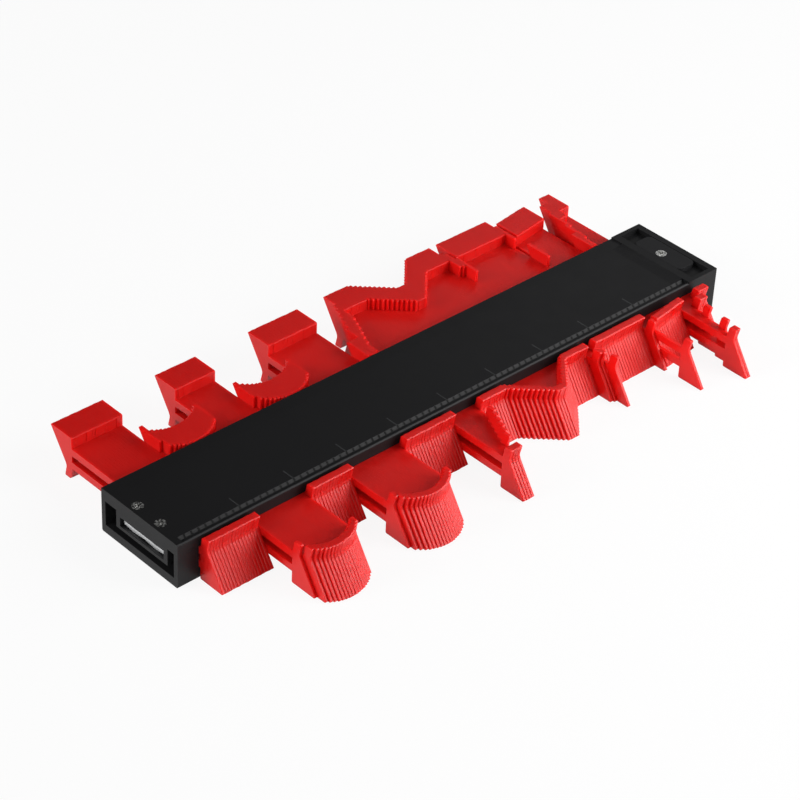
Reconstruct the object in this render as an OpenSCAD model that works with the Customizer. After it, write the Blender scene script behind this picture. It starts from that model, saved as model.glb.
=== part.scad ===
// Contour gauge: a flat black casing with a stack of thin red leaves that slide across it.
// Pressed against an edge, each leaf moves on its own and the row of tips keeps the outline.
// X runs along the casing, -Y is the measuring side with the low tips, and Z is up.
// The origin is the middle of the flat face that the casing lies on.

/* [Leaves] */
// Length of a leaf from tip to tip
leaf_l = 99.6; // [92:0.1:110]
// Thickness of a leaf
leaf_t = 1.35; // [1.1:0.01:1.6]
// Air between two neighbouring leaves
leaf_gap = 0.04; // [0.02:0.01:0.1]
// Height of the rail that joins the two ends of a leaf
rail_h = 9.1; // [8:0.1:11]
// Travel of a leaf each way from the middle of the casing
travel = 15.3; // [12:0.1:16.5]
// Length of the foot of the small barb at each end, along the rail
barb_foot = 3.6; // [3:0.1:4.4]
// Length of the barb along its outer edge
barb_l = 3.6; // [3:0.1:4]
// How far the barb leans outwards from its foot to its outer edge
barb_lean = 1.2; // [0.5:0.05:1.6]
// Blunt end of the sharp tip
tip_blunt = 0.5; // [0.2:0.05:0.8]
// How far the slot ends beyond the shoulders, towards the tips
slot_past = 0.2; // [0:0.1:1]

/* [Casing] */
// Width of the casing across the leaves
body_w = 43.5; // [40:0.1:48]
// Thickness of the plate above and below the rails
plate_t = 5; // [4.6:0.1:7]
// Air between a rail and each plate
rail_clear = 0.15; // [0.12:0.01:0.25]
// Air between the tips and the level of the casing's faces
tip_clear = 0.6; // [0.5:0.05:0.9]
// Air at the ends of the stack of leaves
stack_clear = 0.08; // [0.05:0.01:0.2]
// Length of the casing to the left of the leaves
left_l = 9.5; // [9:0.1:14]
// Length of the casing to the right of the leaves
right_l = 11.9; // [11.8:0.1:16]
// Small chamfer on the casing's outer edges
edge = 0.5; // [0.2:0.1:0.8]
// Width of the rim outside the scale channel, along the front edge
scale_rim = 0.9; // [0.7:0.1:1.5]
// Width of the scale channel, with the sloping scale face
scale_w = 3; // [2.4:0.1:3.6]
// Depth of the scale channel, and width of the sloping face
scale_deep = 1; // [0.6:0.1:1.4]
// Plain top face left at the channel's left-hand end
scale_left = 3; // [2:0.1:5]
// Width of the gentle slope along the back edge
slope_w = 6.4; // [4:0.1:8]
// Drop of that slope at the casing's back
slope_drop = 0.2; // [0.2:0.1:0.8]
// Width of the guide land that a rail runs on, at each side
land_w = 9; // [7:0.1:11]
// Depth of the relief between the two lands
relief = 1.2; // [0.6:0.1:1.6]

/* [Left end] */
// Thickness of the two side posts
post_t = 2.2; // [1.6:0.1:3]
// Thickness of the wall that closes the leaves off
partition_t = 1.9; // [1.5:0.1:2.5]
// Depth of the floor's step below the lower plate's inner face
floor_step = 1.3; // [0.8:0.1:2]
// Side wall of the box that holds the spring strip
holder_side = 2.2; // [1.8:0.1:2.6]
// Bottom wall of that box
holder_floor = 1.4; // [1.2:0.1:1.6]
// Free height above the strip in the box
holder_room = 1.35; // [0.8:0.05:1.6]

/* [Spring strip] */
// Width of the wavy strip
strip_w = 23.6; // [20:0.1:25]
// Thickness of the strip
strip_t = 1.9; // [1:0.1:2.2]
// Height of its waves above and below the middle
strip_wave = 0.3; // [0.1:0.05:0.6]
// Number of waves across its width
strip_waves = 2; // [1:0.5:3]
// Middle of the strip, forward of the casing's middle
strip_fwd = 1.4; // [0:0.1:2]
// Air between the strip and the leaves' slots, above and below
strip_clear = 0.25; // [0.15:0.05:0.5]
// Air between the strip and the seats at its ends
seat_clear = 0.15; // [0.1:0.05:0.3]
// Air beside the strip's long edges at its ends
strip_side = 0.6; // [0.3:0.1:1]
// Recess of the strip's left end behind the casing's end face
strip_recess = 1.4; // [0.8:0.1:2]
// Length of the strip held to the right of the leaves
strip_right = 6; // [5:0.1:7]

/* [Right end] */
// Rise of the right-hand end above the top face
end_rise = 0.5; // [0.2:0.1:1]
// Length of the raised end
raised_l = 16.6; // [15:0.1:18]
// Length of the ramp up to it
ramp_l = 6; // [3:0.1:8]
// Wall around the pocket in the raised end, at the end face
pocket_wall = 3; // [2:0.1:4]
// Wall around the pocket, at the sides
pocket_side = 2.1; // [1.5:0.1:3]
// Length of the pocket along the casing
pocket_l = 9.9; // [9.4:0.1:10.4]
// Thickness left under the pocket
pocket_floor = 3.3; // [2.5:0.1:3.6]
// Width of the clamp pad in the pocket
pad_w = 25.8; // [22:0.1:30]
// Air around the pad at its two long edges
pad_clear = 0.15; // [0.1:0.05:0.4]
// Level of the pad below the raised end
pad_sink = 0.1; // [0:0.05:0.5]
// Radius of the pad's corners
pad_r = 2.4; // [1:0.1:3.5]

/* [Screws] */
// Diameter of a countersunk screw head
head_d = 4.6; // [4:0.1:5.2]
// Depth of the head's cone
head_cone = 1.3; // [1:0.1:1.6]
// Diameter of the screw's shank
shank_d = 2.2; // [1.8:0.1:2.6]
// Air around the shank and the head
screw_clear = 0.1; // [0.05:0.01:0.2]
// Distance of the two left-hand screws from the end face
screw_in = 3.5; // [3.2:0.1:4]
// Distance between the two left-hand screws
screw_pitch = 12.9; // [10:0.1:15]
// Distance of the right-hand screw from the last leaf
screw_right = 2.5; // [2.3:0.1:3]
// Distance of that screw behind the casing's middle
screw_back = 0.4; // [0:0.1:1]
// Width of an arm of the cross in the head
cross_w = 0.75; // [0.5:0.05:0.9]
// Length of the cross
cross_l = 2.7; // [2:0.1:3]
// Depth of the cross
cross_deep = 0.7; // [0.4:0.05:0.9]

/* [Hidden] */
$fn = 48;
over = 1; // how far a cut runs past the face it opens
BLACK = "#232427";
RED = "#d1201c";
STEEL = "#c9ccd0";

// The pressed profile, from left to right. Each run holds: leaves, first offset, last offset,
// bow and groups. Offsets and bow are shares of the travel, and + is towards the back.
// A bow bends the run forwards on a round arc, and groups says into how many sets it is split.
RUNS = [
    [17, 0.97, 0.97, 0, 4],       // flat
    [1, -0.48, -0.48, 0, 1],      // step beside the first round nose
    [17, -0.76, -0.62, 0.29, 4],  // first round nose
    [14, 0.97, 0.97, 0, 3],       // flat
    [1, -0.52, -0.52, 0, 1],      // step beside the second nose
    [18, -0.67, -0.60, 0.35, 4],  // second round nose
    [18, 0.97, 0.97, 0, 4],       // flat
    [4, -0.98, -0.98, 0, 1],      // narrow tongue
    [6, -0.52, 0.50, 0, 2],       // stairs back from it
    [9, 0.97, 0.97, 0, 2],        // flat
    [11, 0.92, 0.08, 0, 3],       // ramp forwards
    [3, 0.07, 0.07, 0, 1],        // its crest
    [9, 0.15, 0.92, 0, 2],        // ramp back
    [9, 0.96, 0.96, 0, 2],        // flat
    [2, 0.55, 0.50, 0, 1],        // small step
    [1, 0.13, 0.13, 0, 1],        // single leaf beside it
    [20, 0.96, 0.96, 0, 4],       // flat
    [1, 0.62, 0.62, 0, 1],        // small step
    [1, -0.58, -0.58, 0, 1],      // single long leaf
    [13, 0.70, 0.85, 0, 3],       // slightly slanted flat
    [2, -0.98, -0.98, 0, 1],      // long spike
    [2, -0.54, 0.15, 0, 1],       // stairs back from it
    [3, 0.59, 0.59, 0, 1],        // step
    [4, 0.89, 0.89, 0, 1],        // last leaves
];

// Stack of leaves and what follows from it
pitch = leaf_t + leaf_gap;
leaf_n = sum([for (r = RUNS) r[0]]);
stack_l = leaf_n * pitch + 2 * stack_clear;
body_l = left_l + stack_l + right_l;
body_h = 2 * plate_t + rail_h + 2 * rail_clear;
x_left = -body_l / 2;
x_right = body_l / 2;
stack_x0 = x_left + left_l;
stack_x1 = x_right - right_l;
z_mid = body_h / 2;
z_low = plate_t;
z_high = body_h - plate_t;
z_end = body_h + end_rise;

// Leaf outline
leaf_h = body_h - 2 * tip_clear;
shoulder = body_w / 2 + travel;
barb_foot_y = shoulder + barb_foot;
barb_out_y = barb_foot_y + barb_lean;
slot_l = 2 * (shoulder + slot_past);
strip_half = strip_wave + strip_t / 2;
slot_h = 2 * (strip_half + strip_clear);

// Spring strip and its seats
strip_y = -strip_fwd;
strip_x0 = x_left + strip_recess;
strip_x1 = stack_x1 + strip_right;
strip_steps = 60;
seat_w = strip_w + 2 * strip_side;
seat_low = z_mid - strip_half - seat_clear;
seat_high = z_mid + strip_half + seat_clear;
holder_w = seat_w + 2 * holder_side;
holder_low = seat_low - holder_floor;
holder_top_in = z_mid + strip_half + holder_room;
partition_x = stack_x0 - partition_t;

// Right-hand end
raised_x = x_right - raised_l;
pocket_x1 = x_right - pocket_wall;
pocket_x0 = pocket_x1 - pocket_l;
pocket_w = body_w - 2 * pocket_side;
pocket_z = z_high + pocket_floor;

// Screw places
holder_screw_x = x_left + screw_in;
holder_screw_y = [strip_y - screw_pitch / 2, strip_y + screw_pitch / 2];
clamp_screw_x = stack_x1 + screw_right;
clamp_screw_y = screw_back;
clamp_screw_z = z_end - pad_sink;
holder_screw_l = body_h - holder_low - screw_clear;
clamp_screw_l = clamp_screw_z - z_low - screw_clear;

function sum(v, i = 0) = i < len(v) ? v[i] + sum(v, i + 1) : 0;

// Height of a round arc above its chord, for u from -1 to 1 along the chord
function arc_height(u, half, rise) =
    rise == 0 ? 0
    : let (r = (half * half + rise * rise) / (2 * rise))
      sqrt(r * r - u * u * half * half) - (r - rise);

// Offset of leaf k of a run, along Y
function run_offset(r, k) =
    let (t = r[0] > 1 ? k / (r[0] - 1) : 0,
         half = r[0] * pitch / 2)
    travel * (r[1] + (r[2] - r[1]) * t) - arc_height(2 * t - 1, half, travel * r[3]);

LEAF_OFFSETS = [for (r = RUNS) for (k = [0:r[0] - 1]) run_offset(r, k)];

// Number of leaves in each group, and the first leaf of group g
GROUP_SIZES = [for (r = RUNS) for (g = [0:r[4] - 1])
    floor(r[0] * (g + 1) / r[4]) - floor(r[0] * g / r[4])];
function group_first(g) = sum([for (i = [0:1:g - 1]) GROUP_SIZES[i]]);
function group_name(g) = str("leaf_group_", g < 9 ? "0" : "", g + 1);

// Outline of a leaf about its middle, in Y and Z. One half turn maps it onto itself.
leaf_half = [
    [-leaf_l / 2, tip_blunt - leaf_h / 2],
    [-barb_foot_y, rail_h / 2],
    [-barb_out_y, leaf_h / 2],
    [barb_l - barb_out_y, leaf_h / 2],
    [-shoulder, rail_h / 2],
    [shoulder, rail_h / 2],
    [shoulder, leaf_h / 2],
    [leaf_l / 2 - tip_blunt, leaf_h / 2],
];
leaf_outline = concat(leaf_half, [for (p = leaf_half) -p]);

// Carries a drawing in Y and Z along X from x0 to x1
module along_x(x0, x1) {
    translate([x0, 0, 0]) rotate([90, 0, 90]) linear_extrude(x1 - x0) children();
}

// Box between two corners
module box(low, high) {
    translate(low) cube(high - low);
}

// One sliding leaf: arrow-shaped ends, barbs, a rail and the slot for the strip
module leaf(i) {
    x0 = stack_x0 + stack_clear + leaf_gap / 2 + i * pitch;
    translate([0, LEAF_OFFSETS[i], z_mid]) along_x(x0, x0 + leaf_t) difference() {
        polygon(leaf_outline);
        square([slot_l, slot_h], center = true);
    }
}

module leaf_group(g) {
    color(RED) for (i = [group_first(g):group_first(g) + GROUP_SIZES[g] - 1]) leaf(i);
}

// Cut for a countersunk screw whose head is flush at z_top
module screw_cut(z_top, z_bottom) {
    cut_d = shank_d + 2 * screw_clear;
    translate([0, 0, z_bottom]) cylinder(d = cut_d, h = z_top - z_bottom);
    translate([0, 0, z_top - head_cone])
        cylinder(d1 = cut_d, d2 = head_d + 2 * screw_clear, h = head_cone);
    translate([0, 0, z_top]) cylinder(d = head_d + 2 * screw_clear, h = over);
}

// Countersunk cross-head screw, its head flush at z_top
module screw(z_top, l) {
    translate([0, 0, z_top]) difference() {
        union() {
            translate([0, 0, -l]) cylinder(d = shank_d, h = l);
            translate([0, 0, -head_cone]) cylinder(d1 = shank_d, d2 = head_d, h = head_cone);
        }
        for (turn = [0, 90]) rotate(turn)
            translate([0, 0, -cross_deep]) translate([-cross_l / 2, -cross_w / 2, 0])
                cube([cross_l, cross_w, cross_deep + over]);
    }
}

// Top casing: channel with a sloping scale face, guide lands inside, a gentle slope along the back
// and a raised right-hand end with a pocket
module upper_cover() {
    half = body_w / 2;
    rim = scale_rim - half;
    flat = [rim + scale_w, half - slope_w];
    color(BLACK) difference() {
        union() {
            along_x(x_left, raised_x)
                polygon([[-half, z_high], [half, z_high], [half, body_h - slope_drop], [flat[1], body_h],
                    [edge - half, body_h], [-half, body_h - edge]]);
            box([raised_x, -half, z_high], [x_right, half, z_end]);
            translate([0, flat[1], 0]) rotate([90, 0, 0]) linear_extrude(flat[1] - flat[0])
                polygon([[raised_x - ramp_l, body_h], [raised_x - ramp_l, body_h - over],
                    [raised_x, body_h - over], [raised_x, z_end]]);
        }
        along_x(x_left + scale_left, raised_x)
            polygon([[rim, body_h - scale_deep], [flat[0] - scale_deep, body_h - scale_deep],
                [flat[0], body_h], [flat[0], body_h + over], [rim, body_h + over]]);
        box([stack_x0, land_w - half, z_high - over], [stack_x1, half - land_w, z_high + relief]);
        box([pocket_x0, -pocket_w / 2, pocket_z], [pocket_x1, pocket_w / 2, z_end + over]);
        for (y = holder_screw_y) translate([holder_screw_x, y, 0]) screw_cut(body_h, z_high - over);
        translate([clamp_screw_x, clamp_screw_y, z_high - over])
            cylinder(d = shank_d + 2 * screw_clear, h = pocket_z - z_high + 2 * over);
    }
}

// Bottom casing: the plate it lies on, the open frame on the left and the solid block on the right
module lower_body() {
    half = body_w / 2;
    color(BLACK) difference() {
        union() {
            along_x(x_left, x_right)
                polygon([[edge - half, 0], [half - edge, 0], [half, edge], [half, z_low],
                    [-half, z_low], [-half, edge]]);
            box([x_left, -half, z_low - over], [stack_x0, half, z_high]);
            box([stack_x1, -half, z_low - over], [x_right, half, z_high]);
        }
        box([stack_x0, land_w - half, z_low - relief], [stack_x1, half - land_w, z_low + over]);
        box([x_left - over, post_t - half, z_low - floor_step], [partition_x, half - post_t, z_high + over]);
        box([partition_x - over, strip_y - seat_w / 2, seat_low],
            [stack_x0 + over, strip_y + seat_w / 2, z_high + over]);
        box([stack_x1 - over, strip_y - seat_w / 2, seat_low],
            [strip_x1 + seat_clear, strip_y + seat_w / 2, seat_high]);
        translate([clamp_screw_x, clamp_screw_y, z_low])
            cylinder(d = shank_d + 2 * screw_clear, h = z_high - z_low + over);
    }
}

// Open box under the top casing that holds the left end of the strip
module strip_holder() {
    color(BLACK) difference() {
        box([x_left, strip_y - holder_w / 2, holder_low], [partition_x, strip_y + holder_w / 2, z_high]);
        box([x_left - over, strip_y - seat_w / 2, seat_low],
            [partition_x + over, strip_y + seat_w / 2, holder_top_in]);
        for (y = holder_screw_y) translate([holder_screw_x, y, holder_low - over])
            cylinder(d = shank_d + 2 * screw_clear, h = z_high - holder_low + 2 * over);
    }
}

// Pad with rounded corners in the pocket, which its screw pulls down
module clamp_pad() {
    x0 = pocket_x0 + pad_clear;
    x1 = pocket_x1 - pad_clear;
    half = pad_w / 2;
    h = clamp_screw_z - pocket_z;
    color(BLACK) difference() {
        translate([0, 0, pocket_z]) union() {
            translate([x0 + pad_r, -half, 0]) cube([x1 - x0 - 2 * pad_r, pad_w, h]);
            translate([x0, pad_r - half, 0]) cube([x1 - x0, pad_w - 2 * pad_r, h]);
            for (x = [x0 + pad_r, x1 - pad_r], y = [pad_r - half, half - pad_r])
                translate([x, y, 0]) cylinder(r = pad_r, h = h);
        }
        translate([clamp_screw_x, clamp_screw_y, 0]) screw_cut(clamp_screw_z, pocket_z - over);
    }
}

// Wavy strip through the slots of all the leaves
module spring_strip() {
    wave = [for (k = [0:strip_steps]) let (t = k / strip_steps)
        [strip_w * (t - 0.5), strip_wave * cos(360 * strip_waves * t)]];
    up = [0, strip_t / 2];
    color(STEEL) difference() {
        translate([0, strip_y, z_mid]) along_x(strip_x0, strip_x1)
            polygon(concat([for (p = wave) p - up], [for (k = [strip_steps:-1:0]) wave[k] + up]));
        for (y = holder_screw_y) translate([holder_screw_x, y, z_low]) strip_hole();
        translate([clamp_screw_x, clamp_screw_y, z_low]) strip_hole();
    }
}

module strip_hole() {
    cylinder(d = shank_d + 4 * screw_clear, h = z_high - z_low);
}

module holder_screws() {
    color(STEEL) for (y = holder_screw_y) translate([holder_screw_x, y, 0]) screw(body_h, holder_screw_l);
}

module clamp_screw() {
    color(STEEL) translate([clamp_screw_x, clamp_screw_y, 0]) screw(clamp_screw_z, clamp_screw_l);
}

upper_cover();
lower_body();
strip_holder();
clamp_pad();
spring_strip();
holder_screws();
clamp_screw();
for (g = [0:len(GROUP_SIZES) - 1]) leaf_group(g);
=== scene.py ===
"""Contour gauge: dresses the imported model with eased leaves, scale marks, finishes and a studio.

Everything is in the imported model's own frame: X along the casing, -Y the measuring side, Z up.
A name that ends in mm holds millimetres, which are turned to metres where a mesh is made.
"""

import logging
import math
from dataclasses import dataclass, field
from enum import Enum

import bpy
import numpy as np
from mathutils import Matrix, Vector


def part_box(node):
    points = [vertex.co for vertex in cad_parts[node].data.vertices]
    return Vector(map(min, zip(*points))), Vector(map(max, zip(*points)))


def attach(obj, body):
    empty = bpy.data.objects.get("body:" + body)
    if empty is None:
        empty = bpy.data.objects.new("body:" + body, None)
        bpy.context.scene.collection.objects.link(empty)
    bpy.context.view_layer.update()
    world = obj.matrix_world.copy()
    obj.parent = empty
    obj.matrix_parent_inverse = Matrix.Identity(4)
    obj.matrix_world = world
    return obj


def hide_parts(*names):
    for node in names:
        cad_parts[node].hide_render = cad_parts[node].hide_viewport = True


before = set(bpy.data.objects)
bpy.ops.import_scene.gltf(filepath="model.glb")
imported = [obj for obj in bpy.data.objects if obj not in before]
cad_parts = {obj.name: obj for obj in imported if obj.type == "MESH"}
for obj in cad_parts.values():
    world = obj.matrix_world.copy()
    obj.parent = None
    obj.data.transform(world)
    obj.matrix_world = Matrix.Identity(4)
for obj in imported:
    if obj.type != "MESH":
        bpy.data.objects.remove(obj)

LOG = logging.getLogger("contour_gauge")
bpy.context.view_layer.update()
MM = 0.001
INCH_MM = 25.4
CASING = "casing"
UPPER_COVER = "upper_cover"
WHITE = (1.0, 1.0, 1.0, 1.0)
# Colour sockets of the Mix node, which share their names with its number sockets
MIX_FIRST, MIX_SECOND, MIX_RESULT = 6, 7, 2


def linear(hex_colour: str) -> tuple[float, float, float, float]:
    """Turns an sRGB hex colour to linear light, by the standard's line for dark tones and its power.

    Args:
        hex_colour: six digits after a hash.

    Returns:
        Red, green, blue and an alpha of one.
    """
    parts = np.array([int(hex_colour[i:i + 2], 16) for i in (1, 3, 5)]) / 255
    low, high = parts / 12.92, ((parts + 0.055) / 1.055) ** 2.4
    return (*np.where(parts <= 0.04045, low, high).tolist(), 1.0)


def add_node(tree: bpy.types.NodeTree, kind: str, settings: dict[str | int, object] | None = None,
             links: dict[str | int, bpy.types.NodeSocket] | None = None) -> bpy.types.Node:
    """Adds a shader node, sets its properties and sockets, and links its inputs.

    Args:
        tree: the material's or world's node tree.
        kind: the node's type name.
        settings: properties by name, or input sockets by name or number.
        links: output sockets to join to the input sockets with those names or numbers.

    Returns:
        The new node.
    """
    node = tree.nodes.new(kind)
    for key, value in (settings or {}).items():
        if isinstance(key, str) and hasattr(node, key):
            setattr(node, key, value)
        else:
            node.inputs[key].default_value = value
    for key, socket in (links or {}).items():
        tree.links.new(socket, node.inputs[key])
    return node


def new_material(name: str) -> tuple[bpy.types.Material, bpy.types.NodeTree]:
    """Makes an empty material with nodes.

    Args:
        name: the material's name.

    Returns:
        The material and its node tree.
    """
    material = bpy.data.materials.new(name)
    material.use_nodes = True
    material.node_tree.nodes.clear()
    return material, material.node_tree


def dress(piece: bpy.types.Object, material: bpy.types.Material) -> None:
    """Puts one material on a piece, in place of what it has."""
    piece.data.materials.clear()
    piece.data.materials.append(material)


def new_piece(name: str, points: np.ndarray, faces: list[list[int]]) -> bpy.types.Object:
    """Makes a mesh object at the origin from points and faces.

    Args:
        name: the piece's name.
        points: X, Y and Z in metres along the last axis.
        faces: lists of point numbers, seen from outside anticlockwise.

    Returns:
        The object, linked to the scene.
    """
    mesh = bpy.data.meshes.new(name)
    mesh.from_pydata(points.reshape(-1, 3).tolist(), [], faces)
    mesh.validate()
    piece = bpy.data.objects.new(name, mesh)
    bpy.context.scene.collection.objects.link(piece)
    return piece


def set_up(item: bpy.types.Object, right: np.ndarray, up: np.ndarray, back: np.ndarray,
           place: np.ndarray) -> None:
    """Links a camera or lamp to the scene, which looks along its own -Z.

    Args:
        item: the camera's or lamp's object.
        right: direction of its X.
        up: direction of its Y.
        back: direction of its Z.
        place: where it stands, in metres.
    """
    bpy.context.scene.collection.objects.link(item)
    matrix = np.eye(4)
    matrix[:3] = np.column_stack([right, up, back, place])
    # Blender reads a plain list of lists as columns
    item.matrix_world = matrix.T.tolist()


def directions(ring: np.ndarray) -> np.ndarray:
    """Unit direction of each edge of a closed ring, from corner i to the next."""
    along = np.roll(ring, -1, 0) - ring
    return along / np.linalg.norm(along, axis=1, keepdims=True)


class Grain(Enum):
    """How fine a surface breaks up, as the noise node's detail."""

    SMOOTH = 1.0
    CLOUD = 2.0
    SPARK = 3.0
    PATCH = 4.0


@dataclass(frozen=True)
class MouldedAbs:
    """Injection moulded ABS: an even colour, a faint mould grain and a soft satin shine.

    The tone drifts a little over a few centimetres, as flow and handling leave it, and the
    shine is a little uneven, which keeps wide faces from looking like flat paint. A clear
    colour lets light run through it for a millimetre or two, so its slots and steps glow.
    """

    name: str
    colour: str
    deep: str
    roughness: float
    shine: float
    grain: Grain = Grain.SPARK
    ior: float = 1.53
    drift_mm: float = 40.0
    # The real grit is about 0.1 mm, too fine for a picture of the whole gauge, so it is coarser
    grain_mm: float = 0.8
    grain_depth_mm: float = 0.012
    shine_mm: float = 9.0
    uneven: float = 0.05
    glow: float = 0.0
    # How far red, green and blue light runs through the plastic
    glow_mm: tuple[float, float, float] = (2.0, 0.2, 0.15)

    def material(self) -> bpy.types.Material:
        """Builds the material on Object coordinates.

        Returns:
            The finished material.
        """
        material, tree = new_material(self.name)
        place = add_node(tree, "ShaderNodeTexCoord").outputs["Object"]
        patterns = ((self.drift_mm, Grain.CLOUD), (self.shine_mm, Grain.PATCH),
                    (self.grain_mm, self.grain))
        drift, patch, grit = (
            add_node(tree, "ShaderNodeTexNoise", {"Scale": 1 / (size * MM), "Detail": grain.value},
                     {"Vector": place}).outputs["Fac"]
            for size, grain in patterns)
        tone = add_node(tree, "ShaderNodeMix",
                        {"data_type": "RGBA", MIX_FIRST: linear(self.deep),
                         MIX_SECOND: linear(self.colour)},
                        {0: drift})
        gloss = add_node(tree, "ShaderNodeMapRange",
                         {"To Min": self.roughness - self.uneven, "To Max": self.roughness + self.uneven},
                         {"Value": patch})
        bump = add_node(tree, "ShaderNodeBump",
                        {"Strength": 1.0, "Distance": self.grain_depth_mm * MM}, {"Height": grit})
        shader = add_node(tree, "ShaderNodeBsdfPrincipled",
                          {"IOR": self.ior, "Specular IOR Level": self.shine,
                           "Subsurface Weight": self.glow, "Subsurface Radius": self.glow_mm,
                           "Subsurface Scale": MM},
                          {"Base Color": tone.outputs[MIX_RESULT], "Roughness": gloss.outputs["Result"],
                           "Normal": bump.outputs["Normal"]})
        add_node(tree, "ShaderNodeOutputMaterial", links={"Surface": shader.outputs["BSDF"]})
        return material


@dataclass(frozen=True)
class DrawnSteel:
    """Steel that was rolled, turned or plated: bright, with fine lines or specks in tone and shine.

    One noise gives all of it. Its cells have the size line_mm along X, Y and Z, so a long cell
    draws a line. Between the two levels of speck the tone goes from deep to bright, and the
    roughness swings by its spread.
    """

    name: str
    colour: str
    deep: str
    roughness: float
    line_mm: tuple[float, float, float]
    line_depth_mm: float = 0.006
    speck: tuple[float, float] = (0.42, 0.58)
    spread: float = 0.3

    def material(self) -> bpy.types.Material:
        """Builds the material on Object coordinates, with noise drawn out along the lines.

        Returns:
            The finished material.
        """
        material, tree = new_material(self.name)
        place = add_node(tree, "ShaderNodeTexCoord").outputs["Object"]
        drawn = add_node(tree, "ShaderNodeMapping", {"Scale": [1 / (size * MM) for size in self.line_mm]},
                         {"Vector": place})
        lines = add_node(tree, "ShaderNodeTexNoise", {"Scale": 1.0, "Detail": Grain.SPARK.value},
                         {"Vector": drawn.outputs["Vector"]}).outputs["Fac"]
        gloss = add_node(tree, "ShaderNodeMapRange",
                         {"To Min": self.roughness * (1 - self.spread),
                          "To Max": self.roughness * (1 + self.spread)}, {"Value": lines})
        bump = add_node(tree, "ShaderNodeBump",
                        {"Strength": 1.0, "Distance": self.line_depth_mm * MM}, {"Height": lines})
        worn = add_node(tree, "ShaderNodeMapRange",
                        {"From Min": self.speck[0], "From Max": self.speck[1]}, {"Value": lines})
        tone = add_node(tree, "ShaderNodeMix",
                        {"data_type": "RGBA", MIX_FIRST: linear(self.deep),
                         MIX_SECOND: linear(self.colour)},
                        {0: worn.outputs["Result"]})
        shader = add_node(tree, "ShaderNodeBsdfPrincipled", {"Metallic": 1.0},
                          {"Base Color": tone.outputs[MIX_RESULT], "Roughness": gloss.outputs["Result"],
                           "Normal": bump.outputs["Normal"]})
        add_node(tree, "ShaderNodeOutputMaterial", links={"Surface": shader.outputs["BSDF"]})
        return material


# Casing: black plastic from a spark-eroded mould, so wide faces are one soft dark grey
BLACK_ABS = MouldedAbs("black_abs_moulded", "#1b1b1c", "#181819", roughness=0.42, shine=0.13)
# Clamp pad: the same plastic from another mould, a shade paler
PAD_ABS = MouldedAbs("black_abs_pad", "#1e1e1f", "#1a1a1c", roughness=0.46, shine=0.17)
# Raised ticks: the casing's plastic, painted paler as a highlight for the light their raised faces catch
MARK_ABS = MouldedAbs("black_abs_marks_painted_highlight", "#2c2d2e", "#232425", roughness=0.5, shine=0.3)
# Strokes of the scale: engraved marks, matt and a shade blacker than the plastic under it, as painted
# shade for the shadow in them
STROKE_SHADE = MouldedAbs("dark_strokes_painted_shade", "#0d0d0d", "#0a0a0a", roughness=0.6, shine=0.06)
# Leaves: clear red plastic from a smooth mould, satin, with a glow in its thin edges
RED_ABS = MouldedAbs("red_abs_moulded", "#e01612", "#d8120f", roughness=0.4, shine=0.3,
                     grain=Grain.SMOOTH, grain_mm=1.4, grain_depth_mm=0.01, glow=0.75,
                     glow_mm=(2.5, 0.25, 0.2))
# Spring strip: rolled steel, bright, with long fine lines along it
STRIP_STEEL = DrawnSteel("spring_steel_rolled", "#e6e7e8", "#dadbdc", 0.5, line_mm=(12.0, 0.35, 0.35))
# Right-hand screw: zinc plate, bright with grey specks
SCREW_STEEL = DrawnSteel("screw_steel_zinc_plated", "#f0f0ee", "#8c8c8a", 0.3, line_mm=(0.8, 0.8, 0.8))
# Left-hand screws: phosphate crystals, which mottle the metal dull and dark
DARK_STEEL = DrawnSteel("screw_steel_phosphated", "#e0e0de", "#545453", 0.42, line_mm=(0.8, 0.8, 0.8),
                        line_depth_mm=0.04)


@dataclass
class Casing:
    """The black shell: both covers, the strip holder and the clamp pad, with eased edges."""

    shell: tuple[str, ...] = (UPPER_COVER, "lower_body", "strip_holder")
    pad: str = "clamp_pad"
    ease_mm: float = 0.12
    ease_segments: int = 2
    ease_angle_deg: float = 30.0
    flat_angle_deg: float = 0.5
    weld_mm: float = 0.002

    def ease(self, piece: bpy.types.Object) -> None:
        """Joins the node's loose triangles to flat faces and rounds its sharp edges, as a mould does.

        Args:
            piece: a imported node, whose own mesh stays as it is.
        """
        weld = piece.modifiers.new("join", "WELD")
        weld.merge_threshold = self.weld_mm * MM
        flat = piece.modifiers.new("flat_faces", "DECIMATE")
        flat.decimate_type = "DISSOLVE"
        flat.angle_limit = math.radians(self.flat_angle_deg)
        bevel = piece.modifiers.new("eased_edges", "BEVEL")
        bevel.width = self.ease_mm * MM
        bevel.segments = self.ease_segments
        bevel.limit_method = "ANGLE"
        bevel.angle_limit = math.radians(self.ease_angle_deg)
        bevel.use_clamp_overlap = True

    def build(self) -> list[bpy.types.Object]:
        """Dresses the shell's nodes and eases their edges.

        Returns:
            The nodes' objects.
        """
        black = BLACK_ABS.material()
        pieces = [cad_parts[name] for name in self.shell]
        for piece in pieces:
            dress(piece, black)
        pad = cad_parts[self.pad]
        dress(pad, PAD_ABS.material())
        for piece in [*pieces, pad]:
            self.ease(piece)
        return [*pieces, pad]


@dataclass
class Hardware:
    """The spring strip and the cross-head screws: dull ones on the left, a bright one on the right."""

    finishes: dict[str, DrawnSteel] = field(default_factory=lambda: {
        "spring_strip": STRIP_STEEL, "holder_screws": DARK_STEEL, "clamp_screw": SCREW_STEEL})

    def build(self) -> list[bpy.types.Object]:
        """Dresses the steel nodes.

        Returns:
            The nodes' objects.
        """
        for name, finish in self.finishes.items():
            dress(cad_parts[name], finish.material())
        return [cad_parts[name] for name in self.finishes]


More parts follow.
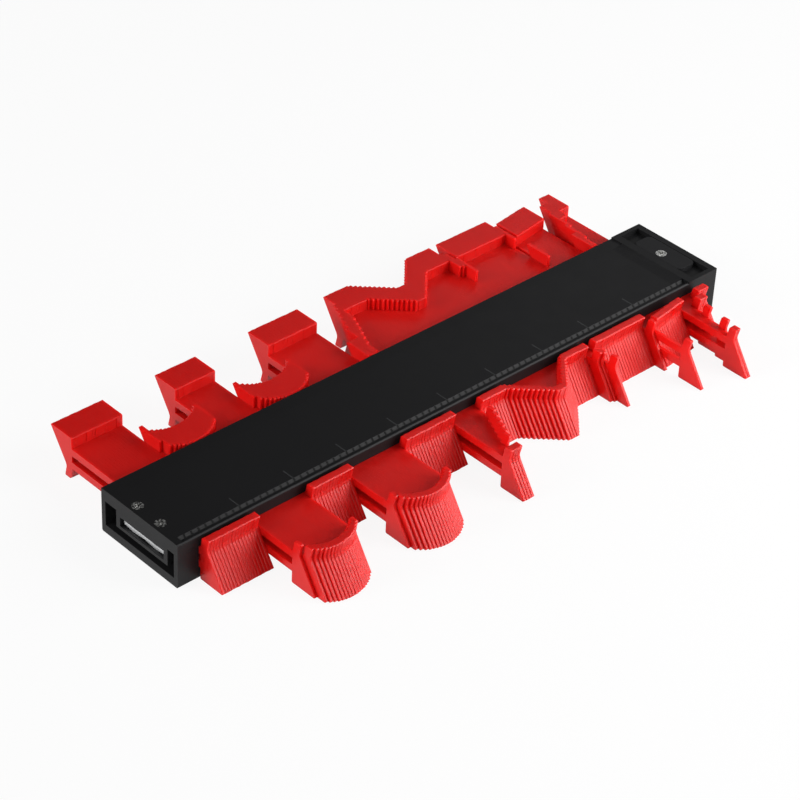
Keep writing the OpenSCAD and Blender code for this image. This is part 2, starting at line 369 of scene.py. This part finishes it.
@dataclass
class LeafStack:
    """The red leaves, each with a fine chamfer where its arrow-shaped ends meet the next leaf.

    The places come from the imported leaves: each one has two X levels in its node's mesh, and
    the middle of its length gives how far it is pushed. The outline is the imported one, but its
    two ends reach nearly to the casing's faces, as in the photograph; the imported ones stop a
    little short of them, to slide clear of the ground. The shoulders lie 0.2 mm further out than
    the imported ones, so that an uneven leaf still stops short of the casing.
    """

    length_mm: float = 99.6
    height_mm: float = 19.1
    rail_mm: float = 9.1
    shoulder_mm: float = 37.25
    barb_foot_mm: float = 3.4
    barb_top_mm: float = 3.6
    barb_lean_mm: float = 1.2
    blunt_mm: float = 0.5
    slot_mm: tuple[float, float] = (74.5, 3.0)
    # At each corner of half the outline, how far its rounding cuts along both edges
    cuts_mm: tuple[float, ...] = (0, 1.2, 0.4, 0.6, 0, 0, 0.6, 0)
    # Depth of the chamfer on the edge that starts at each of those corners
    eases_mm: tuple[float, ...] = (0.19, 0.1, 0.008, 0.006, 0.004, 0.006, 0.008, 0.02)
    # A cut wider than this is a curve, and a narrower one a straight line
    curved_mm: float = 0.5
    # How far the chamfers reach into a leaf's thickness
    ease_x_mm: float = 0.25
    # The most that a leaf hangs back from its push
    uneven_mm: float = 0.18
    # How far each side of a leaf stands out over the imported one
    swell_mm: float = 0.012
    # Packed points closer than this along X are on one side of a leaf
    level_mm: float = 0.001
    seed: int = 11
    node_prefix: str = "leaf_group_"
    piece_prefix: str = "leaf_set_"
    rng: np.random.Generator = field(init=False)

    def __post_init__(self) -> None:
        """Starts the seeded random numbers for the leaves' small unevenness."""
        self.rng = np.random.default_rng(self.seed)

    def outline(self) -> tuple[np.ndarray, np.ndarray]:
        """Outline of a leaf about its middle: half of it, then the same half turned about.

        A corner C with a cut gives two points, A and B, that far from it along its two edges. A wide
        cut also gives the point at t = 1/2 of the curve (1-t)^2 A + 2t(1-t) C + t^2 B between them.

        Returns:
            Rows of Y and Z in millimetres, clockwise seen from +X, and the ease of the edge
            that starts at each of them.
        """
        tip, top, rail = self.length_mm / 2, self.height_mm / 2, self.rail_mm / 2
        foot = self.shoulder_mm + self.barb_foot_mm
        out = foot + self.barb_lean_mm
        half = np.array([
            [-tip, self.blunt_mm - top], [-foot, rail], [-out, top], [self.barb_top_mm - out, top],
            [-self.shoulder_mm, rail], [self.shoulder_mm, rail], [self.shoulder_mm, top],
            [tip - self.blunt_mm, top]])
        ring = np.vstack([half, -half])
        cut, ease = np.tile(self.cuts_mm, 2), np.tile(self.eases_mm, 2)
        along = directions(ring)
        before, behind = ring - cut[:, None] * np.roll(along, 1, 0), ring + cut[:, None] * along
        points = np.stack([before, (before + 2 * ring + behind) / 4, behind], 1)
        middle = (np.roll(ease, 1) + ease) / 2
        eases = np.stack([middle, middle, ease], 1)
        kept = np.stack([cut > 0, cut > self.curved_mm, np.full(len(cut), True)], 1)
        return points[kept], eases[kept]

    def inset(self, ring: np.ndarray, ease: np.ndarray) -> np.ndarray:
        """Moves each edge of a ring to its right by its own ease, and finds the new corners.

        A corner d from its old place meets both moved edges: n1.d = a1 and n2.d = a2, where n
        is an edge's normal to the right and a its ease, solved for all corners at once.

        Args:
            ring: rows of Y and Z.
            ease: how far edge i, from corner i to the next, moves.

        Returns:
            The moved ring.
        """
        along = directions(ring)
        normal = np.column_stack([along[:, 1], -along[:, 0]])
        pairs = np.stack([np.roll(normal, 1, 0), normal], 1)
        shift = np.linalg.solve(pairs, np.stack([np.roll(ease, 1), ease], 1)[..., None])
        return ring + shift[..., 0]

    def places(self, node: bpy.types.Object) -> np.ndarray:
        """Reads where a node's leaves are.

        Args:
            node: a packed leaf set.

        Returns:
            A row for each leaf: low X, high X, push along Y and middle Z, in metres.
        """
        points = np.zeros(len(node.data.vertices) * 3, np.float32)
        node.data.vertices.foreach_get("co", points)
        points = points.reshape(-1, 3).astype(float)
        step = self.level_mm * MM
        levels, which = np.unique(np.round(points[:, 0] / step), return_inverse=True)
        sides = [points[which == k] for k in range(0, len(levels), 2)]
        middle = np.array([(side.min(0) + side.max(0)) / 2 for side in sides])
        return np.column_stack([levels[0::2] * step, levels[1::2] * step, middle[:, 1], middle[:, 2]])

    def points(self, places: np.ndarray) -> np.ndarray:
        """Carries the outline and its slot across each leaf's thickness.

        Four stations lie across a leaf: eased outline, full outline, full outline and eased
        outline. A station's points are the outline's corners and then the slot's four.

        Args:
            places: rows from the places method.

        Returns:
            X, Y and Z in metres, by leaf, station and corner.
        """
        ring, ease = self.outline()
        slot_l, slot_h = (size / 2 for size in self.slot_mm)
        slot = np.array([[-slot_l, -slot_h], [-slot_l, slot_h], [slot_l, slot_h], [slot_l, -slot_h]])
        full = np.vstack([ring, slot])
        eased = np.vstack([self.inset(ring, ease), slot])
        sections = np.stack([eased, full, full, eased]) * MM
        swell, run = self.swell_mm * MM, self.ease_x_mm * MM
        low, high = places[:, 0] - swell, places[:, 1] + swell
        back = -np.sign(places[:, 2]) * self.rng.uniform(0, self.uneven_mm, len(places)) * MM
        points = np.empty((len(places), *sections.shape[:2], 3))
        points[..., 0] = np.stack([low, low + run, high - run, high], 1)[:, :, None]
        points[..., 1] = sections[..., 0] + (places[:, 2] + back)[:, None, None]
        points[..., 2] = sections[..., 1] + places[:, 3][:, None, None]
        return points

    def faces(self, points: np.ndarray, slot_corners: int = 4) -> list[list[int]]:
        """Closes each leaf with walls between its stations, walls in its slot and two sides.

        A side is a plate with a hole, so it is two faces. They meet on the lines from the first
        corner, and from the one opposite, to the slot.

        Args:
            points: from the points method.
            slot_corners: how many of a station's points are the slot's.

        Returns:
            Lists of point numbers, seen from outside anticlockwise.
        """
        leaves, stations, total = points.shape[:3]
        count = total - slot_corners
        corner, hole = np.arange(count), np.arange(count, total)
        after, hole_after = np.roll(corner, -1), np.roll(hole, -1)
        last = (stations - 1) * total
        wall = np.column_stack([corner, total + corner, total + after, after])
        walls = [first + wall for first in range(0, last, total)]
        inner = np.column_stack([hole_after, last + hole_after, last + hole, hole])
        quads = np.vstack([*walls, inner])
        opposite = count // 2
        upper = np.array([*corner[:opposite + 1], *hole[::-1]])
        lower = np.array([*corner[opposite:], corner[0], hole[0], hole[-1]])
        sides = [upper, lower, last + upper[::-1], last + lower[::-1]]
        faces: list[list[int]] = []
        for first in range(0, leaves * stations * total, stations * total):
            faces += (quads + first).tolist() + [(side + first).tolist() for side in sides]
        return faces

    def build(self) -> list[bpy.types.Object]:
        """Makes each leaf set, rides it on its body and lets it stand for its node.

        Returns:
            The leaf sets.
        """
        red = RED_ABS.material()
        pieces = []
        for name in sorted(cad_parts):
            if not name.startswith(self.node_prefix):
                continue
            points = self.points(self.places(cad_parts[name]))
            set_name = name.replace(self.node_prefix, self.piece_prefix)
            piece = new_piece(set_name, points, self.faces(points))
            dress(piece, red)
            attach(piece, name)
            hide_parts(name)
            pieces.append(piece)
        return pieces


@dataclass
class ScaleMarks:
    """Marks of an inch scale: dark strokes on the sloping face, raised ticks on the top face.

    The sloping face lies on the inner side of a channel along the casing's front edge.
    """

    # From the casing's left end to the first inch tick and to the first stroke
    first_inch_mm: float = 31.15
    start_mm: float = 5.55
    # From the last stroke to the casing's right end
    end_mm: float = 18.55
    # How far the raised end stands over the top face
    raised_mm: float = 0.5
    rim_mm: float = 0.9
    channel_mm: float = 3.0
    slope_mm: float = 1.0
    eighths: int = 8
    # Shares of the slope where a stroke starts and where a short and a half-inch one end
    foot_share: float = 0.04
    short_share: float = 0.9
    half_inch_share: float = 0.97
    stroke_w_mm: float = 0.95
    stroke_rise_mm: float = 0.02
    tick_w_mm: float = 0.7
    tick_rise_mm: float = 0.08
    inch_l_mm: float = 5.6
    sink_mm: float = 0.15

    def bars(self, centre: np.ndarray, foot: np.ndarray, head: np.ndarray, normal: np.ndarray,
             width: float, rise: float) -> tuple[np.ndarray, list[list[int]]]:
        """Bars with a narrower crown from a foot to a head point, all at once.

        A bar's section is a trapezium: its base lies under the face by the sink, its crown
        stands over it by the rise and is narrower in all by as much as sink and rise make.

        Args:
            centre: X of each bar.
            foot: Y and Z where the bars start.
            head: Y and Z where the bars end, or a row for each.
            normal: Y and Z of the face's outward direction.
            width: width of the base.
            rise: height over the face.

        Returns:
            Points in metres and faces.
        """
        half, crown = width / 2, (width - self.sink_mm - rise) / 2
        across = np.array([-half, half, crown, -crown])
        lift = np.array([-self.sink_mm, -self.sink_mm, rise, rise])[:, None] * normal
        size = len(across)
        points = np.empty((len(centre), 2, size, 3))
        points[..., 0] = centre[:, None, None] + across
        points[:, 0, :, 1:] = foot + lift
        points[:, 1, :, 1:] = head[..., None, :] + lift
        ring = np.arange(size)
        after = np.roll(ring, -1)
        sides = np.column_stack([ring, size + ring, size + after, after])
        faces = np.vstack([sides, ring, size + ring[::-1]])
        every = faces + 2 * size * np.arange(len(centre))[:, None, None]
        return points * MM, every.reshape(-1, size).tolist()

    def build(self) -> list[bpy.types.Object]:
        """Makes the strokes every eighth of an inch and the ticks at whole inches.

        Returns:
            The two rows of marks.
        """
        (left, front, _), (right, _, high) = (np.array(corner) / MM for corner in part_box(UPPER_COVER))
        ledge = np.array([front + self.rim_mm + self.channel_mm, high - self.raised_mm])
        base = ledge - self.slope_mm
        eighth = INCH_MM / self.eighths
        lowest = math.ceil((self.start_mm - self.first_inch_mm) / eighth)
        highest = math.floor((right - left - self.end_mm - self.first_inch_mm) / eighth)
        number = np.arange(lowest, highest + 1)
        at = left + self.first_inch_mm + number * eighth
        share = np.where(number % (self.eighths // 2) == 0, self.half_inch_share, self.short_share)
        # The strokes start an inch before the first tick, and that place has no tick
        inch = at[(number % self.eighths == 0) & (number >= 0)]
        slope_out, top_out = np.array([-1.0, 1.0]) / math.sqrt(2), np.array([0.0, 1.0])
        rows = {
            # The strokes' black tone is painted shade in engraved marks
            "scale_strokes": (STROKE_SHADE, self.bars(
                at, base + self.foot_share * self.slope_mm, base + share[:, None] * self.slope_mm,
                slope_out, self.stroke_w_mm, self.stroke_rise_mm)),
            # The ticks' paler tone is a painted highlight
            "scale_inch_ticks": (MARK_ABS, self.bars(
                inch, ledge, ledge + [self.inch_l_mm, 0.0], top_out, self.tick_w_mm, self.tick_rise_mm)),
        }
        pieces = []
        for name, (finish, (points, faces)) in rows.items():
            piece = new_piece(name, points, faces)
            dress(piece, finish.material())
            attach(piece, CASING)
            pieces.append(piece)
        return pieces


@dataclass(frozen=True)
class Lamp:
    """A square soft light that faces the object, with its place and side in metres."""

    name: str
    place_m: tuple[float, float, float]
    side_m: float
    power_w: float

    def hang(self) -> None:
        """Makes the light: its Z points away from the origin, and its X is square to that and to Y."""
        data = bpy.data.lights.new(self.name, "AREA")
        data.shape, data.size, data.energy = "SQUARE", self.side_m, self.power_w
        place = np.array(self.place_m)
        back = place / np.linalg.norm(place)
        right = np.cross([0.0, 1.0, 0.0], back)
        right /= np.linalg.norm(right)
        set_up(bpy.data.objects.new(self.name, data), right, np.cross(back, right), back, place)


@dataclass
class Studio:
    """Pale floor, soft lights and the photograph's camera, which was fitted to the casing's corners."""

    azimuth_deg: float = -44.260
    elevation_deg: float = 35.700
    roll_deg: float = 2.848
    distance_mm: float = 1065.22
    target_mm: tuple[float, float, float] = (-2.255, 12.470, 0.0)
    focal_px: float = 2746.02
    picture_px: float = 800.0
    sensor_mm: float = 36.0
    clip_m: tuple[float, float] = (0.01, 100.0)
    floor_m: float = 12.0
    floor_colour: str = "#f4f4f4"
    floor_glow: float = 0.9
    ambient: float = 0.02
    lamps: tuple[Lamp, ...] = (
        Lamp("key_front_right", (0.46, -0.48, 0.35), 0.6, 6.2),
        Lamp("low_front", (0.7, -1.25, 0.35), 0.8, 4.0),
        Lamp("fill_front_left", (-1.8, -1.8, 1.6), 1.6, 24.0),
        Lamp("side_left", (-2.4, 1.0, 1.0), 1.2, 40.0),
        Lamp("back_left", (-1.6, 1.6, 1.8), 1.2, 8.0),
        Lamp("top_left", (-1.0, -0.4, 2.4), 1.2, 3.0),
        Lamp("back_right", (1.1, 0.75, 0.8), 0.6, 0.75),
    )

    def camera(self) -> None:
        """Places the camera on its line of sight and rolls it about that line."""
        a, e, r = (math.radians(v) for v in (self.azimuth_deg, self.elevation_deg, self.roll_deg))
        right = np.array([math.cos(a), math.sin(a), 0.0])
        back = np.array([math.sin(a) * math.cos(e), -math.cos(a) * math.cos(e), math.sin(e)])
        up = np.cross(back, right)
        turned = math.cos(r) * right + math.sin(r) * up
        upright = math.cos(r) * up - math.sin(r) * right
        data = bpy.data.cameras.new("camera")
        data.sensor_width = self.sensor_mm
        data.lens = self.focal_px / self.picture_px * self.sensor_mm
        data.clip_start, data.clip_end = self.clip_m
        camera = bpy.data.objects.new("camera", data)
        set_up(camera, turned, upright, back, (np.array(self.target_mm) + self.distance_mm * back) * MM)
        bpy.context.scene.camera = camera

    def floor(self) -> None:
        """Lays the floor at the casing's foot; it shows white and keeps a soft shadow."""
        grid = np.array([[-1, -1, 0], [1, -1, 0], [1, 1, 0], [-1, 1, 0]], float) * self.floor_m
        floor = new_piece("floor", grid, [[0, 1, 2, 3]])
        material, tree = new_material("white_paper_floor")
        path = add_node(tree, "ShaderNodeLightPath").outputs
        seen = add_node(tree, "ShaderNodeMath", {"operation": "MAXIMUM"},
                        {0: path["Is Camera Ray"], 1: path["Is Glossy Ray"]})
        clear = add_node(tree, "ShaderNodeMath", {"operation": "MAXIMUM"},
                         {0: seen.outputs[0], 1: path["Is Transmission Ray"]})
        part = add_node(tree, "ShaderNodeMath", {"operation": "MULTIPLY", 1: self.floor_glow},
                        {0: clear.outputs[0]})
        paper = add_node(tree, "ShaderNodeBsdfDiffuse", {"Color": linear(self.floor_colour)})
        glow = add_node(tree, "ShaderNodeEmission", {"Color": WHITE, "Strength": 1.0})
        both = add_node(tree, "ShaderNodeMixShader",
                        links={0: part.outputs[0], 1: paper.outputs[0], 2: glow.outputs[0]})
        add_node(tree, "ShaderNodeOutputMaterial", links={"Surface": both.outputs[0]})
        dress(floor, material)

    def air(self) -> None:
        """Fills the world with a faint even light."""
        world = bpy.data.worlds.new("studio")
        world.use_nodes = True
        tree = world.node_tree
        tree.nodes.clear()
        light = add_node(tree, "ShaderNodeBackground", {"Color": WHITE, "Strength": self.ambient})
        add_node(tree, "ShaderNodeOutputWorld", links={"Surface": light.outputs[0]})
        bpy.context.scene.world = world

    def build(self) -> None:
        """Sets the floor, the lights, the world and the camera."""
        self.floor()
        for lamp in self.lamps:
            lamp.hang()
        self.air()
        bpy.context.scene.view_settings.view_transform = "Standard"
        self.camera()


def main() -> None:
    """Builds every sub-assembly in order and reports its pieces."""
    logging.basicConfig(level=logging.INFO, format="%(name)s: %(message)s")
    for part in (Casing(), Hardware(), LeafStack(), ScaleMarks()):
        for piece in part.build():
            LOG.info("%s: %s, %d faces", type(part).__name__, piece.name, len(piece.data.polygons))
    Studio().build()


if __name__ == "__main__":
    main()
